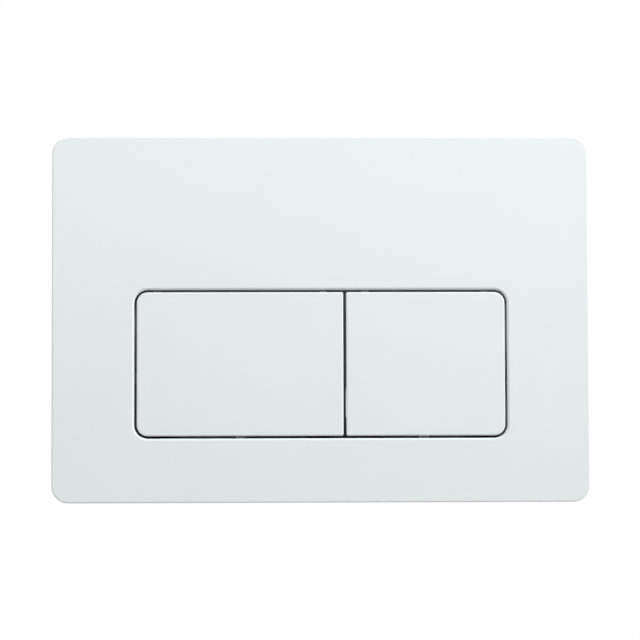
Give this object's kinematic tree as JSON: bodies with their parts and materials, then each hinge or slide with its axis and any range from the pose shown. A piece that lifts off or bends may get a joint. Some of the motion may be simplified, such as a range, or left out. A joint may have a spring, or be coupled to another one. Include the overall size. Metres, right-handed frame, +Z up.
{
  "type": "dual flush button plate",
  "caption": "White moulded wall plate with a wide and a narrow hinged push button, a mounting tub, push rods, return springs and fixing studs for a built-in cistern.",
  "frame": {"origin": "on the surface of the wall, behind the middle of the cover plate", "axes": "+X to the right as the user sees the plate, +Y into the wall, +Z up; the buttons face -Y"},
  "size_m": [0.22, 0.079, 0.15],
  "materials": {
    "white_shell": "gloss",
    "dark_frame": "matt",
    "pale_nylon": "satin",
    "zinc_steel": "zinc plated",
    "pin_steel": "ground",
    "spring_steel": "satin",
    "black_rubber": "matt"
  },
  "bodies": {
    "base": {"cover_plate": "white_shell", "mounting_frame": "dark_frame", "full_flush_rod_guide": "pale_nylon", "part_flush_rod_guide": "pale_nylon", "left_fixing_stud": "zinc_steel", "left_fixing_nut": "zinc_steel", "left_fixing_washer": "zinc_steel", "right_fixing_stud": "zinc_steel", "right_fixing_nut": "zinc_steel", "right_fixing_washer": "zinc_steel", "full_flush_leaf_spring": "spring_steel", "part_flush_leaf_spring": "spring_steel", "full_flush_buffers": "black_rubber", "part_flush_buffers": "black_rubber"},
    "full_button": {"full_flush_button": "white_shell", "full_flush_hinge_pin": "pin_steel"},
    "part_button": {"part_flush_button": "white_shell", "part_flush_hinge_pin": "pin_steel"},
    "full_rod": {"full_flush_push_rod": "pale_nylon", "full_flush_rod_head": "pale_nylon"},
    "part_rod": {"part_flush_push_rod": "pale_nylon", "part_flush_rod_head": "pale_nylon"}
  },
  "joints": [
    {"name": "full_flush_press", "type": "hinge", "parent": "base", "child": "full_button", "pos_m": [-0.03313, 0.0015, 0.008], "axis": [1, 0, 0], "range_deg": [0, 7], "stiffness_Nm_per_rad": 0.9, "springref_deg": -3.44, "deforming": ["full_flush_leaf_spring"]},
    {"name": "part_flush_press", "type": "hinge", "parent": "base", "child": "part_button", "pos_m": [0.04283, 0.0015, 0.008], "axis": [1, 0, 0], "range_deg": [0, 7], "stiffness_Nm_per_rad": 0.9, "springref_deg": -3.44, "deforming": ["part_flush_leaf_spring"]},
    {"name": "full_flush_rod_slide", "type": "slide", "parent": "base", "child": "full_rod", "axis": [0, 1, 0], "range_m": [0, 0.0055]},
    {"name": "part_flush_rod_slide", "type": "slide", "parent": "base", "child": "part_rod", "axis": [0, 1, 0], "range_m": [0, 0.0055]}
  ],
  "couplings": [
    {"joint": "full_flush_rod_slide", "follows": "full_flush_press", "m_per_rad": 0.0444},
    {"joint": "part_flush_rod_slide", "follows": "part_flush_press", "m_per_rad": 0.0444}
  ]
}
